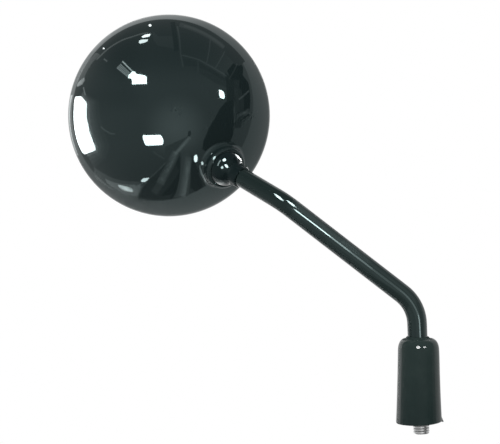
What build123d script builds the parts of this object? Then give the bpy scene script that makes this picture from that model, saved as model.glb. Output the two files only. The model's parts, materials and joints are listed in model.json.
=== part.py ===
# Round motorcycle mirror on a bent stem with a ball joint, a rubber boot and a threaded stud.
# Millimetres, +Z up along the stud. The origin is on the stud's axis, where its free thread begins.
# The back of the mirror head faces -Y and the glass faces +Y.
import os
from math import asin, cos, radians, sin, sqrt, tan

from build123d import *

os.makedirs("parts", exist_ok=True)

# Stem: a round bar with two bends
stem_d = 10.0
stem_bend_radius = 20.0
lower_corner_height = 50.7
arm_length = 85.0
arm_angle = 39.9
reach_length = 41.8
reach_angle = 29.1
reach_back_angle = 34.8

# Threaded end of the stem, with the thread as a plain cylinder
stud_d = 8.0
stud_pitch_d = 7.188
stud_length = 14.6
stud_chamfer = 0.8
stem_shoulder_height = 12.0
shoulder_chamfer = 0.8

# Lock nut
nut_sides = 6
nut_flats = 13.0
nut_height = 6.5
nut_edge_angle = 30.0
thread_gap = 0.05
nut_seat_gap = 0.2

# Rubber boot on the stem
boot_height = 42.5
boot_top_height = 33.8
boot_lean = 1.9
boot_offset = 0.4
boot_foot_angle = 1.4
boot_wall = 1.5
boot_lip_wall = 1.6
boot_lip_height = 3.6
boot_top_d = 20.8
boot_waist_d = 21.8
boot_waist_share = 0.68
boot_foot_d = 23.0
boot_grip_gap = 0.2

# Ball on the end of the stem
ball_d = 20.0
neck_d = 11.8
neck_fillet = 3.0
neck_end = 12.7
neck_edge = 0.5
stem_socket_floor = 2.0
spigot_gap = 0.03
spigot_end_gap = 0.2

# Turret of the shell, on the ball's centre
turret_tilt = 40.0
turret_turn = 40.0
turret_d = 23.0
turret_base_fillet = 3.0
turret_lip_round = 1.6
mouth_gap = 0.15
mouth_round = 0.3
lip_thickness = 1.4
ball_stand = 1.35
turret_height = 21.68
turret_clock = -45.85

# Mirror head
head_d = 110.0
dome_depth = 32.0
band_height = 5.0
band_round = 8.0
shell_wall = 2.2
rim_wall = 1.8
rim_lip = 1.8
rim_lip_thickness = 1.2
rim_edge_round = 0.6

# Glass and its gasket
glass_thickness = 2.3
glass_curve_radius = 1000.0
glass_cover = 2.0
gasket_wall = 2.0
gasket_flange = 1.2
gasket_back_cover = 1.5
gasket_gap = 0.05

# Inside of the ball joint
joint_gap = 0.1
ring_wall = 0.5
ring_top = 1.5
ring_low_angle = 112.0
liner_wall = 0.8
liner_edge_angle = 128.0
seat_edge_angle = 140.0
seat_floor = 0.9
plate_thickness = 1.0
plate_gap = 0.05
plate_lobe_r = 3.6
tube_short = 0.2

# Clamp screws and their bosses
screw_circle_r = 14.5
screw_count = 3
screw_d = 2.5
screw_gap = 0.05
screw_grip = 3.8
screw_head_d = 5.2
screw_head_height = 1.3
screw_head_round = 0.5
screw_slot_width = 0.8
screw_slot_depth = 0.7
screw_clearance = 0.25
screw_tip_gap = 0.2
boss_d = 6.4
boss_reach = 8.0


def heading(rise, turn):
    # Unit vector at an angle above the horizontal, turned from -X towards +Y
    level = cos(radians(rise))
    return Vector(-level * cos(radians(turn)), level * sin(radians(turn)), sin(radians(rise)))


def section_plane(origin, axis, side):
    # Plane through an axis: sketch x runs out from the axis and sketch y runs along it
    out = (side - axis * side.dot(axis)).normalized()
    return Plane(origin=origin, x_dir=out, z_dir=out.cross(axis))


# Stem route, from the stud up to the ball's centre
lower_corner = Vector(0, 0, lower_corner_height)
upper_corner = lower_corner + heading(arm_angle, 0) * arm_length
neck_out = heading(reach_angle, reach_back_angle) * -1
ball_centre = upper_corner - neck_out * reach_length
neck_section = section_plane(ball_centre, neck_out, Vector(0, 0, 1))

# Turret axis, out of the shell
turret_axis = Vector(
    sin(radians(turret_tilt)) * cos(radians(turret_turn)),
    -cos(radians(turret_tilt)),
    -sin(radians(turret_tilt)) * sin(radians(turret_turn)),
)

# Head: its axis is along Y, and the turret's foot lies on the dome, at a set height over the rim
head_r = head_d / 2
dome_radius = (head_r**2 + dome_depth**2) / (2 * dome_depth)
dome_top = band_height + dome_depth
dome_centre_height = dome_top - dome_radius
foot = ball_centre - turret_axis * ball_stand
foot_reach = sqrt(dome_radius**2 - (turret_height - dome_centre_height) ** 2)
foot_side = Vector(cos(radians(turret_clock)), 0, sin(radians(turret_clock)))
head_centre = foot - foot_side * foot_reach + Vector(0, turret_height, 0)
head_axis = Vector(0, -1, 0)
head_section = section_plane(head_centre, head_axis, Vector(1, 0, 0))
head_line = Axis(head_centre, head_axis)

# Ball joint: sketch x runs down towards the glass, with a clamp screw at each side of it
joint_section = section_plane(ball_centre, turret_axis, head_axis * -1)
joint_line = Axis(ball_centre, turret_axis)
joint_base = Plane(origin=ball_centre, x_dir=joint_section.x_dir, z_dir=turret_axis)
ball_r = ball_d / 2
socket_r = ball_r + joint_gap
bore_r = socket_r + ring_wall
lip_low = ring_top + joint_gap
lip_high = lip_low + lip_thickness
mouth_low_r = sqrt((ball_r + mouth_gap) ** 2 - lip_low**2)
mouth_high_r = sqrt((ball_r + mouth_gap) ** 2 - lip_high**2)
liner_r = socket_r + liner_wall
recess_r = liner_r + joint_gap
seat_r = bore_r - joint_gap
seat_low = -recess_r - seat_floor
tube_low = seat_low + tube_short
plate_high = seat_low - plate_gap
plate_low = plate_high - plate_thickness
screw_tip = plate_high + screw_grip
screw_turn = 180 / screw_count

# Rim seat of the gasket and the glass
rim_r = head_r - rim_wall
rim_lip_r = rim_r - rim_lip
dome_inner_radius = dome_radius - shell_wall
gasket_r = rim_r - gasket_gap
gasket_front = rim_lip_thickness + gasket_gap
glass_r = gasket_r - gasket_wall - gasket_gap
glass_open_r = glass_r - glass_cover
glass_edge_front = gasket_front + gasket_flange + gasket_gap
glass_sag = glass_curve_radius - sqrt(glass_curve_radius**2 - glass_open_r**2)
glass_front = glass_edge_front - glass_sag
glass_fall = glass_curve_radius - sqrt(glass_curve_radius**2 - glass_r**2)
glass_back = glass_front + glass_fall + glass_thickness + gasket_gap
gasket_back = glass_back + gasket_flange / 2
ledge_height = gasket_back + gasket_gap
ledge_r = sqrt(dome_inner_radius**2 - (ledge_height - dome_centre_height) ** 2)


def dome_arc_middle(radius, edge_r):
    # Point halfway along a dome's section, from its top to the given edge radius
    half = asin(edge_r / radius) / 2
    return (radius * sin(half), dome_centre_height + radius * cos(half))


# Solid dome, the blank that the shell is cut from
with BuildPart() as dome_blank:
    with BuildSketch(head_section):
        with BuildLine():
            Line((0, 0), (0, dome_top))
            ThreePointArc((0, dome_top), dome_arc_middle(dome_radius, head_r), (head_r, band_height))
            Polyline((head_r, band_height), (head_r, 0), (0, 0))
        make_face()
        rim_corners = vertices().sort_by(Axis.X)[-2:].sort_by(Axis.Y)
        fillet(rim_corners[0], rim_edge_round)
        band_corner = vertices().sort_by_distance((head_r, band_height))[0]
        fillet(band_corner, band_round)
    revolve(axis=head_line)

# Bosses inside the shell that take the clamp screws; they end within the dome's wall
with BuildPart() as screw_bosses:
    with BuildSketch(joint_base.offset(tube_low)):
        with PolarLocations(screw_circle_r, screw_count, start_angle=screw_turn):
            Circle(boss_d / 2)
    extrude(amount=boss_reach)
    with Locations(head_centre + head_axis * dome_centre_height):
        Sphere(dome_radius - shell_wall / 2, mode=Mode.INTERSECT)

# Shell: moulded bowl with the ball's turret, a rolled rim and the screw bosses
with BuildPart() as mirror_shell:
    add(dome_blank.part)
    with BuildSketch(joint_base.offset(tube_low)):
        Circle(turret_d / 2)
    extrude(amount=lip_low - tube_low)
    base_edge = edges().filter_by(GeomType.LINE, reverse=True).sort_by_distance(foot)[0]
    fillet(base_edge, turret_base_fillet)
    with BuildSketch(head_section):
        with BuildLine():
            Line((0, 0), (0, dome_top - shell_wall))
            ThreePointArc(
                (0, dome_top - shell_wall),
                dome_arc_middle(dome_inner_radius, ledge_r),
                (ledge_r, ledge_height),
            )
            Polyline(
                (ledge_r, ledge_height),
                (rim_r, ledge_height),
                (rim_r, rim_lip_thickness),
                (rim_lip_r, rim_lip_thickness),
                (rim_lip_r, 0),
                (0, 0),
            )
        make_face()
    revolve(axis=head_line, mode=Mode.SUBTRACT)
    add(screw_bosses.part)
    with BuildSketch(joint_base.offset(tube_low)):
        Circle(bore_r)
    extrude(amount=lip_high - tube_low, mode=Mode.SUBTRACT)
    with BuildSketch(joint_section):
        with BuildLine():
            Polyline(
                (mouth_low_r, lip_low),
                (bore_r, lip_low),
                (bore_r, tube_low),
                (turret_d / 2, tube_low),
                (turret_d / 2, lip_high),
                (mouth_high_r, lip_high),
                close=True,
            )
        make_face()
        lip_corners = vertices().group_by(Axis.Y)[-1].sort_by(Axis.X)
        fillet(lip_corners[-1], turret_lip_round)
        fillet(lip_corners[0], mouth_round)
    revolve(axis=joint_line)
    with BuildSketch(joint_base.offset(tube_low)):
        with PolarLocations(screw_circle_r, screw_count, start_angle=screw_turn):
            Circle(screw_d / 2 + screw_gap)
    extrude(amount=screw_tip + screw_tip_gap - tube_low, mode=Mode.SUBTRACT)
mirror_shell.part.label = "mirror_shell"
export_step(mirror_shell.part, "parts/mirror_shell.step")

# Glass: a bent disc of even thickness, convex to the front
with BuildPart() as mirror_glass:
    with BuildSketch(head_section):
        edge_front = glass_front + glass_fall
        half_fall = glass_curve_radius - sqrt(glass_curve_radius**2 - (glass_r / 2) ** 2)
        with BuildLine():
            ThreePointArc((0, glass_front), (glass_r / 2, glass_front + half_fall), (glass_r, edge_front))
            Line((glass_r, edge_front), (glass_r, edge_front + glass_thickness))
            ThreePointArc(
                (glass_r, edge_front + glass_thickness),
                (glass_r / 2, glass_front + half_fall + glass_thickness),
                (0, glass_front + glass_thickness),
            )
            Line((0, glass_front + glass_thickness), (0, glass_front))
        make_face()
    revolve(axis=head_line)
mirror_glass.part.label = "mirror_glass"
export_step(mirror_glass.part, "parts/mirror_glass.step")

# Gasket: a rubber channel round the edge of the glass
with BuildPart() as glass_gasket:
    with BuildSketch(head_section):
        with BuildLine():
            Polyline(
                (glass_open_r, gasket_front),
                (gasket_r, gasket_front),
                (gasket_r, gasket_back),
                (glass_r - gasket_back_cover, gasket_back),
                (glass_r - gasket_back_cover, glass_back),
                (gasket_r - gasket_wall, glass_back),
                (gasket_r - gasket_wall, gasket_front + gasket_flange),
                (glass_open_r, gasket_front + gasket_flange),
                close=True,
            )
        make_face()
        fillet(vertices().sort_by_distance((glass_open_r, gasket_front))[0], gasket_flange / 2)
    revolve(axis=head_line)
glass_gasket.part.label = "glass_gasket"
export_step(glass_gasket.part, "parts/glass_gasket.step")

# Ring under the turret's lip that keeps the ball in
with BuildPart() as ball_ring:
    ring_low = socket_r * cos(radians(ring_low_angle))
    with BuildSketch(joint_section):
        with BuildLine():
            top_in = (sqrt(socket_r**2 - ring_top**2), ring_top)
            low_in = (sqrt(socket_r**2 - ring_low**2), ring_low)
            ThreePointArc(top_in, (socket_r, 0), low_in)
            Polyline(low_in, (seat_r, ring_low), (seat_r, ring_top), top_in)
        make_face()
    revolve(axis=joint_line)
ball_ring.part.label = "ball_ring"
export_step(ball_ring.part, "parts/ball_ring.step")

# Liner: a thin spherical cap behind the ball
with BuildPart() as ball_liner:
    with BuildSketch(joint_section):
        edge = radians(liner_edge_angle)
        middle = (edge + radians(180)) / 2
        with BuildLine():
            ThreePointArc(
                (socket_r * sin(edge), socket_r * cos(edge)),
                (socket_r * sin(middle), socket_r * cos(middle)),
                (0, -socket_r),
            )
            Line((0, -socket_r), (0, -liner_r))
            ThreePointArc(
                (0, -liner_r),
                (liner_r * sin(middle), liner_r * cos(middle)),
                (liner_r * sin(edge), liner_r * cos(edge)),
            )
            Line((liner_r * sin(edge), liner_r * cos(edge)), (socket_r * sin(edge), socket_r * cos(edge)))
        make_face()
    revolve(axis=joint_line)
ball_liner.part.label = "ball_liner"
export_step(ball_liner.part, "parts/ball_liner.step")

# Seat: a cup that carries the liner and slides in the turret's tube
with BuildPart() as ball_seat:
    with BuildSketch(joint_section):
        edge = radians(seat_edge_angle)
        middle = (edge + radians(180)) / 2
        seat_edge = (recess_r * sin(edge), recess_r * cos(edge))
        with BuildLine():
            ThreePointArc((0, -recess_r), (recess_r * sin(middle), recess_r * cos(middle)), seat_edge)
            Polyline(seat_edge, (seat_r, seat_edge[1]), (seat_r, seat_low), (0, seat_low), (0, -recess_r))
        make_face()
    revolve(axis=joint_line)
ball_seat.part.label = "ball_seat"
export_step(ball_seat.part, "parts/ball_seat.step")

# Sprung plate that presses the seat on the ball
with BuildPart() as clamp_plate:
    with BuildSketch(joint_base.offset(plate_low)):
        with PolarLocations(screw_circle_r, screw_count, start_angle=screw_turn):
            Circle(plate_lobe_r)
        make_hull()
        with PolarLocations(screw_circle_r, screw_count, start_angle=screw_turn):
            Circle(screw_d / 2 + screw_clearance, mode=Mode.SUBTRACT)
    extrude(amount=plate_thickness)
clamp_plate.part.label = "clamp_plate"
export_step(clamp_plate.part, "parts/clamp_plate.step")

# Pan head screws of the plate, as a group
with BuildPart() as clamp_screws:
    head_low = plate_low - screw_head_height
    with BuildSketch(joint_base.offset(head_low)):
        with PolarLocations(screw_circle_r, screw_count, start_angle=screw_turn):
            Circle(screw_head_d / 2)
    extrude(amount=screw_head_height)
    fillet(edges().group_by(joint_line)[0], screw_head_round)
    with BuildSketch(joint_base.offset(head_low)):
        with PolarLocations(screw_circle_r, screw_count, start_angle=screw_turn):
            Rectangle(screw_head_d, screw_slot_width)
    extrude(amount=screw_slot_depth, mode=Mode.SUBTRACT)
    with BuildSketch(joint_base.offset(plate_low)):
        with PolarLocations(screw_circle_r, screw_count, start_angle=screw_turn):
            Circle(screw_d / 2)
    extrude(amount=screw_tip - plate_low)
clamp_screws.part.label = "clamp_screws"
export_step(clamp_screws.part, "parts/clamp_screws.step")

# Ball with its flared neck and the sleeve that takes the stem
with BuildPart() as ball_end:
    with BuildSketch(neck_section):
        neck_r = neck_d / 2
        neck_start = (neck_r, sqrt(ball_r**2 - neck_r**2))
        with BuildLine():
            ThreePointArc((0, -ball_r), (ball_r, 0), neck_start)
            Polyline(neck_start, (neck_r, neck_end), (0, neck_end), (0, -ball_r))
        make_face()
        fillet(vertices().sort_by_distance(neck_start)[0], neck_fillet)
        fillet(vertices().sort_by_distance((neck_r, neck_end))[0], neck_edge)
    revolve(axis=Axis(ball_centre, neck_out))
    with BuildSketch(Plane(origin=ball_centre + neck_out * stem_socket_floor, z_dir=neck_out)):
        Circle(stem_d / 2 + spigot_gap)
    extrude(amount=neck_end - stem_socket_floor, mode=Mode.SUBTRACT)
ball_end.part.label = "ball_end"
export_step(ball_end.part, "parts/ball_end.step")

# Stem: a bent bar, turned down to the threaded stud
with BuildPart() as stem:
    stem_top = ball_centre + neck_out * (stem_socket_floor + spigot_end_gap)
    with BuildLine() as route:
        FilletPolyline(
            stem_top,
            upper_corner,
            lower_corner,
            (0, 0, stem_shoulder_height),
            radius=stem_bend_radius,
        )
    with BuildSketch(Plane(origin=route.line @ 0, z_dir=route.line % 0)):
        Circle(stem_d / 2)
    sweep(path=route.line)
    chamfer(edges().filter_by(GeomType.CIRCLE).sort_by(Axis.Z)[0], shoulder_chamfer)
    with BuildSketch(Plane.XZ):
        with BuildLine():
            Polyline(
                (0, stem_shoulder_height),
                (stud_pitch_d / 2, stem_shoulder_height),
                (stud_pitch_d / 2, 0),
                (stud_d / 2, 0),
                (stud_d / 2, stud_chamfer - stud_length),
                (stud_d / 2 - stud_chamfer, -stud_length),
                (0, -stud_length),
                close=True,
            )
        make_face()
    revolve(axis=Axis.Z)
stem.part.label = "stem"
export_step(stem.part, "parts/stem.step")

# Lock nut with chamfered corners
with BuildPart() as lock_nut:
    with BuildSketch(Plane.XY.offset(nut_seat_gap)):
        RegularPolygon(nut_flats / 2, nut_sides, major_radius=False)
        Circle(stud_pitch_d / 2 + thread_gap, mode=Mode.SUBTRACT)
    extrude(amount=nut_height)
    nut_top = nut_seat_gap + nut_height
    corner_r = nut_flats / 2 / cos(radians(180 / nut_sides))
    corner_drop = (corner_r - nut_flats / 2) * tan(radians(nut_edge_angle))
    with BuildSketch(Plane.XZ):
        with BuildLine():
            Polyline(
                (0, nut_seat_gap),
                (nut_flats / 2, nut_seat_gap),
                (corner_r, nut_seat_gap + corner_drop),
                (corner_r, nut_top - corner_drop),
                (nut_flats / 2, nut_top),
                (0, nut_top),
                close=True,
            )
        make_face()
    revolve(axis=Axis.Z, mode=Mode.INTERSECT)
lock_nut.part.label = "lock_nut"
export_step(lock_nut.part, "parts/lock_nut.step")

# Boot: a bell of rubber that leans a little, with a bore along the stem and a slanted foot
boot_up = Vector(sin(radians(boot_lean)), 0, cos(radians(boot_lean)))
boot_top = Vector(boot_offset, 0, boot_top_height)
boot_section = section_plane(boot_top, boot_up, Vector(1, 0, 0))
foot_up = Vector(-sin(radians(boot_foot_angle)), 0, cos(radians(boot_foot_angle)))
with BuildPart() as rubber_boot:
    bore = stem_d / 2 + boot_grip_gap
    crown_r = bore + boot_lip_wall / 2
    shoulder = boot_top_d / 2 - crown_r
    waist = -boot_height * boot_waist_share
    skirt_low = -boot_height - boot_wall
    with BuildSketch(boot_section):
        with BuildLine():
            Line((0, 0), (crown_r, 0))
            RadiusArc((crown_r, 0), (boot_top_d / 2, -shoulder), shoulder)
            Polyline(
                (boot_top_d / 2, -shoulder),
                (boot_waist_d / 2, waist),
                (boot_foot_d / 2, skirt_low),
                (boot_foot_d / 2 - boot_wall, skirt_low),
                (boot_waist_d / 2 - boot_wall, waist),
                (boot_top_d / 2 - boot_wall, -boot_lip_height - shoulder / 2),
                (bore, -boot_lip_height),
                (0, -boot_lip_height),
                (0, 0),
            )
        make_face()
    revolve(axis=Axis(boot_top, boot_up))
    with BuildSketch(Plane.XY.offset(boot_top_height)):
        Circle(bore)
    extrude(amount=boot_height, both=True, mode=Mode.SUBTRACT)
    split(bisect_by=Plane(origin=boot_top - boot_up * boot_height, z_dir=foot_up), keep=Keep.TOP)
rubber_boot.part.label = "rubber_boot"
export_step(rubber_boot.part, "parts/rubber_boot.step")
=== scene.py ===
import json
import math

import bpy
from mathutils import Euler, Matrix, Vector
from mathutils.geometry import barycentric_transform


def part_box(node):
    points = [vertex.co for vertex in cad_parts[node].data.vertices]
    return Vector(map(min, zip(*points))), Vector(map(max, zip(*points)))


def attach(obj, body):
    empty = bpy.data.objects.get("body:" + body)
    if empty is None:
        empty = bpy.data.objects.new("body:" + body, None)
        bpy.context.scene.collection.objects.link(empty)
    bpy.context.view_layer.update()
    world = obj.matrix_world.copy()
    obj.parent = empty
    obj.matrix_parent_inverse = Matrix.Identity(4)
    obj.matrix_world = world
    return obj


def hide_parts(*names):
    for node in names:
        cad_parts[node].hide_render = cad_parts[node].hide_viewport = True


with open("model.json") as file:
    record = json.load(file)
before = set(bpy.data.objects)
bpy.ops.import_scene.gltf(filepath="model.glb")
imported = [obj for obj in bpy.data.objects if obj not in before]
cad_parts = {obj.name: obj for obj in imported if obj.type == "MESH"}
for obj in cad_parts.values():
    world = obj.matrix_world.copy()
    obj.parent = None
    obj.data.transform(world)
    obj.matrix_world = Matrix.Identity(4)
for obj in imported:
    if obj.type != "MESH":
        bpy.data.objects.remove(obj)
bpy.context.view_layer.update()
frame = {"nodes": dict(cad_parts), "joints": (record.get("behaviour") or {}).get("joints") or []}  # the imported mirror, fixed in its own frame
nodes = frame["nodes"]
mm = 0.001
print("frame loaded,", len(nodes), "nodes")


class Value:
    # one output socket, so that shader maths reads as plain sums
    def __init__(self, finish, socket):
        self.finish = finish
        self.socket = socket

    def math(self, operation, *others):
        values = dict(enumerate((self, *others)))
        return self.finish.add("ShaderNodeMath", {"operation": operation}, values)

    def other(self, out):
        return Value(self.finish, self.socket.node.outputs[out])

    def smooth(self, low, high, start=0.0, end=1.0):
        spread = {"Value": self, "From Min": low, "From Max": high, "To Min": start, "To Max": end}
        return self.finish.add("ShaderNodeMapRange", {"interpolation_type": "SMOOTHSTEP"}, spread)

    def __add__(self, other):
        return self.math("ADD", other)

    def __sub__(self, other):
        return self.math("SUBTRACT", other)

    def __rsub__(self, other):
        return self.math("MULTIPLY_ADD", -1.0, other)

    def __mul__(self, other):
        return self.math("MULTIPLY", other)

    def __truediv__(self, other):
        return self.math("DIVIDE", other)

    __radd__ = __add__
    __rmul__ = __mul__


class Finish:
    # the node tree of a material or of the world, with one method that adds any node
    def __init__(self, owner):
        owner.use_nodes = True
        self.owner = owner
        self.tree = owner.node_tree
        self.tree.nodes.clear()

    def add(self, kind, settings=None, values=None, out=0):
        node = self.tree.nodes.new(kind)
        for name, setting in (settings or {}).items():
            setattr(node, name, setting)
        for name, value in (values or {}).items():
            socket = node.inputs[name]
            if isinstance(value, Value):
                self.tree.links.new(value.socket, socket)
            elif socket.type == "RGBA":
                socket.default_value = (*value, 1.0)
            else:
                socket.default_value = value
        return Value(self, node.outputs[out]) if node.outputs else None

    def place(self):
        return self.add("ShaderNodeTexCoord", out="Object")

    def noise(self, place, size, detail=2.0, rough=0.5):
        values = {"Vector": place, "Scale": 1 / size, "Detail": detail, "Roughness": rough}
        return self.add("ShaderNodeTexNoise", None, values, "Fac")

    def cloud(self, place, size, band, rough=0.6):
        return self.noise(place, size, 4.0, rough).smooth(*band)

    def tint(self, factor, low, high):
        return self.add("ShaderNodeMix", {"data_type": "RGBA"}, {0: factor, 6: low, 7: high}, 2)

    def bump(self, height, depth):
        return self.add("ShaderNodeBump", None, {"Height": height, "Distance": depth, "Strength": 1.0})

    def surface(self, **sockets):
        values = {name.replace("_", " "): value for name, value in sockets.items()}
        shader = self.add("ShaderNodeBsdfPrincipled", None, values)
        self.add("ShaderNodeOutputMaterial", None, {"Surface": shader})
        return self.owner


def newFinish(name):
    return Finish(bpy.data.materials.new(name))


def dress(piece, finish):
    for slot in piece.material_slots:
        slot.material = finish
    if not piece.material_slots:
        piece.data.materials.append(finish)


# Finishes, where each band is the part of a noise, a height or a turn over which a change runs
shellLook = {
    "black": (0.0070, 0.0125, 0.0130),
    "dust": (0.10, 0.11, 0.11),
    "mirrorTint": (0.78, 1.0, 1.0),
    "gloss": 0.035,  # roughness of clean lacquer
    "gleam": 0.5,
    "smudge": 0.045,  # added where it was handled
    "smudgeSize": 22 * mm,
    "smudgeBand": (0.48, 0.72),
    "streakSize": 22 * mm / 9,
    "streakBand": (0.35, 0.75),
    "peelSize": 1.6 * mm,  # orange peel of the moulding's skin
    "peelDepth": 0.0012 * mm,
    "speckGap": 7 * mm,
    "speckRadius": 0.13 * mm,
    "speckCore": 0.4,  # share of its radius that is solid
    "speckShare": 0.32,
    "speckRough": 0.5,
}
stemLook = dict(
    shellLook,
    black=(0.0065, 0.0125, 0.0120),
    gloss=0.06,
    smudge=0.06,
    gleam=0.36,
    peelSize=2.2 * mm,
    peelDepth=0.0015 * mm,
    speckGap=9 * mm,
)
# the ball wears the stem's gloss black paint; this copy is painted darker and given weaker gloss, as
# painted shade on the ball
ballShadedLook = dict(stemLook, black=(0.0040, 0.0085, 0.0092), gleam=0.22)


def glossBlack(name, look):
    finish = newFinish(name)
    place = finish.place()
    handled = finish.cloud(place, look["smudgeSize"], look["smudgeBand"])
    streaks = finish.noise(place, look["streakSize"]).smooth(*look["streakBand"])
    cells = {"Vector": place, "Scale": 1 / look["speckGap"]}
    speckDistance = finish.add("ShaderNodeTexVoronoi", None, cells, "Distance")
    lot = finish.add("ShaderNodeSeparateColor", None, {"Color": speckDistance.other("Color")}, "Red")
    drawn = lot.smooth(1 - look["speckShare"], 1.02 - look["speckShare"])
    speckEdge = look["speckRadius"] / look["speckGap"]
    specks = (1 - speckDistance.smooth(speckEdge * look["speckCore"], speckEdge)) * drawn
    peel = finish.noise(place, look["peelSize"], 1.0)
    return finish.surface(
        Base_Color=finish.tint(specks, look["black"], look["dust"]),
        Roughness=look["gloss"] + handled * streaks * look["smudge"] + specks * look["speckRough"],
        Specular_IOR_Level=look["gleam"],
        Specular_Tint=look["mirrorTint"],
        Normal=finish.bump(peel, look["peelDepth"]),
    )


bootLook = {
    "black": (0.0133, 0.0218, 0.0211),
    "bloom": (0.0213, 0.0325, 0.0307),  # pale colour: bloom in patches on the rubber, and paler rubber towards the crown by height
    "bloomSize": 9 * mm,
    "bloomBand": (0.42, 0.72),
    "patchShare": 0.3,  # of the pale colour that comes in bloom patches; the rest grows with height towards the crown
    "heightBand": (-12 * mm, 32 * mm),
    "gloss": 0.50,
    "matt": 0.60,
    "gleam": 0.0,  # no gloss of its own
    "mirrorTint": (0.82, 1.0, 1.0),
    "shine": 0.08,  # thin polished skin over the rubber
    "edgeShine": 0.58,  # more of it where the wall turns away, below the lip
    "turnBand": (0.1, 0.5),
    "lipBand": (32.9 * mm, 33.5 * mm),
    "shineRough": 0.05,
    "grainSize": 0.35 * mm,
    "grainDepth": 0.003 * mm,
    "grainRough": 0.06,
}


def satinRubber(name, look):
    finish = newFinish(name)
    place = finish.place()
    bloom = finish.cloud(place, look["bloomSize"], look["bloomBand"], 0.62)
    grain = finish.noise(place, look["grainSize"])
    height = finish.add("ShaderNodeSeparateXYZ", None, {"Vector": place}, "Z")
    # pale colour: bloom patches, plus a rise with height that makes the rubber paler towards the crown
    pale = bloom * look["patchShare"] + height.smooth(*look["heightBand"]) * (1 - look["patchShare"])
    facing = finish.add("ShaderNodeLayerWeight", None, {"Blend": 0.5}, "Facing")
    wall = 1 - height.smooth(*look["lipBand"])
    rough = bloom.smooth(0, 1, look["gloss"], look["matt"])
    return finish.surface(
        Base_Color=finish.tint(pale, look["black"], look["bloom"]),
        Roughness=rough + (grain - 0.5) * look["grainRough"],
        Specular_Tint=look["mirrorTint"],
        Specular_IOR_Level=look["gleam"],
        Coat_Weight=look["shine"] + facing.smooth(*look["turnBand"]) * wall * look["edgeShine"],
        Coat_Roughness=look["shineRough"],
        Normal=finish.bump(grain, look["grainDepth"]),
    )


threadLook = {
    "bright": (0.72, 0.73, 0.73),
    "grime": (0.12, 0.12, 0.115),
    "grimeBand": (3.64 * mm, 3.9 * mm),  # radii, most of it at the root
    "grimeLeast": 0.25,
    "grimeStain": 0.5,
    "grimeDull": 0.7,  # metal that it hides
    "stainSize": 1.5 * mm,
    "stainBand": (0.3, 0.75),
    "gloss": 0.24,
    "grimeRough": 0.4,
    "stainRough": 0.1,
}


def zincThread(name, look):
    finish = newFinish(name)
    place = finish.place()
    across = finish.add("ShaderNodeSeparateXYZ", None, {"Vector": place}, "X")
    side = across.other("Y")
    radius = (across * across + side * side).math("SQRT")
    stain = finish.noise(place, look["stainSize"], 3.0).smooth(*look["stainBand"])
    grime = (1 - radius.smooth(*look["grimeBand"])) * (look["grimeLeast"] + stain * look["grimeStain"])
    return finish.surface(
        Base_Color=finish.tint(grime, look["bright"], look["grime"]),
        Metallic=1 - grime * look["grimeDull"],
        Roughness=look["gloss"] + grime * look["grimeRough"] + stain * look["stainRough"],
    )


zincLook = {
    "dull": (0.52, 0.53, 0.53),
    "bright": (0.68, 0.68, 0.66),
    "cloudSize": 3 * mm,
    "cloudBand": (0.3, 0.7),
    "gloss": 0.26,
    "cloudRough": 0.14,
    "grainSize": 0.25 * mm,
    "grainDepth": 0.004 * mm,
}


def zincPlate(name, look):
    finish = newFinish(name)
    place = finish.place()
    cloud = finish.cloud(place, look["cloudSize"], look["cloudBand"])
    grain = finish.noise(place, look["grainSize"])
    return finish.surface(
        Base_Color=finish.tint(cloud, look["dull"], look["bright"]),
        Metallic=1.0,
        Roughness=look["gloss"] + cloud * look["cloudRough"],
        Normal=finish.bump(grain, look["grainDepth"]),
    )


glassLook = {
    "silver": (0.86, 0.89, 0.88),
    "worn": (0.20, 0.22, 0.21),
    "wornWidth": 1.2 * mm,
    "filmSize": 18 * mm,
    "filmBand": (0.5, 0.8),
    "gloss": 0.012,
    "filmRough": 0.02,
    "wornRough": 0.1,
}


def silverGlass(name, look, middle, edge):
    # silvering seen through the pane, darker where the coat ends near the edge
    finish = newFinish(name)
    place = finish.place()
    arm = finish.add("ShaderNodeVectorMath", {"operation": "SUBTRACT"}, {0: place, 1: middle})
    flat = finish.add("ShaderNodeVectorMath", {"operation": "MULTIPLY"}, {0: arm, 1: (1.0, 0.0, 1.0)})
    radius = finish.add("ShaderNodeVectorMath", {"operation": "LENGTH"}, {0: flat}, "Value")
    worn = radius.smooth(edge - look["wornWidth"], edge)
    film = finish.cloud(place, look["filmSize"], look["filmBand"])
    return finish.surface(
        Base_Color=finish.tint(worn, look["silver"], look["worn"]),
        Metallic=1.0,
        Roughness=look["gloss"] + film * look["filmRough"] + worn * look["wornRough"],
    )


gasketLook = {
    "dark": (0.018, 0.020, 0.020),
    "pale": (0.032, 0.034, 0.034),
    "cloudSize": 6 * mm,
    "cloudBand": (0.35, 0.7),
    "gloss": 0.52,
    "cloudRough": 0.12,
    "grainSize": 0.4 * mm,
    "grainDepth": 0.01 * mm,
}
nylonLook = dict(gasketLook, dark=(0.040, 0.042, 0.042), pale=(0.055, 0.056, 0.056), gloss=0.38)


def mattMoulding(name, look):
    finish = newFinish(name)
    place = finish.place()
    cloud = finish.cloud(place, look["cloudSize"], look["cloudBand"])
    grain = finish.noise(place, look["grainSize"])
    return finish.surface(
        Base_Color=finish.tint(cloud, look["dark"], look["pale"]),
        Roughness=look["gloss"] + cloud * look["cloudRough"],
        Normal=finish.bump(grain, look["grainDepth"]),
    )


shellFinish = glossBlack("shellGlossBlack", shellLook)
stemFinish = glossBlack("stemGlossBlack", stemLook)
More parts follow.
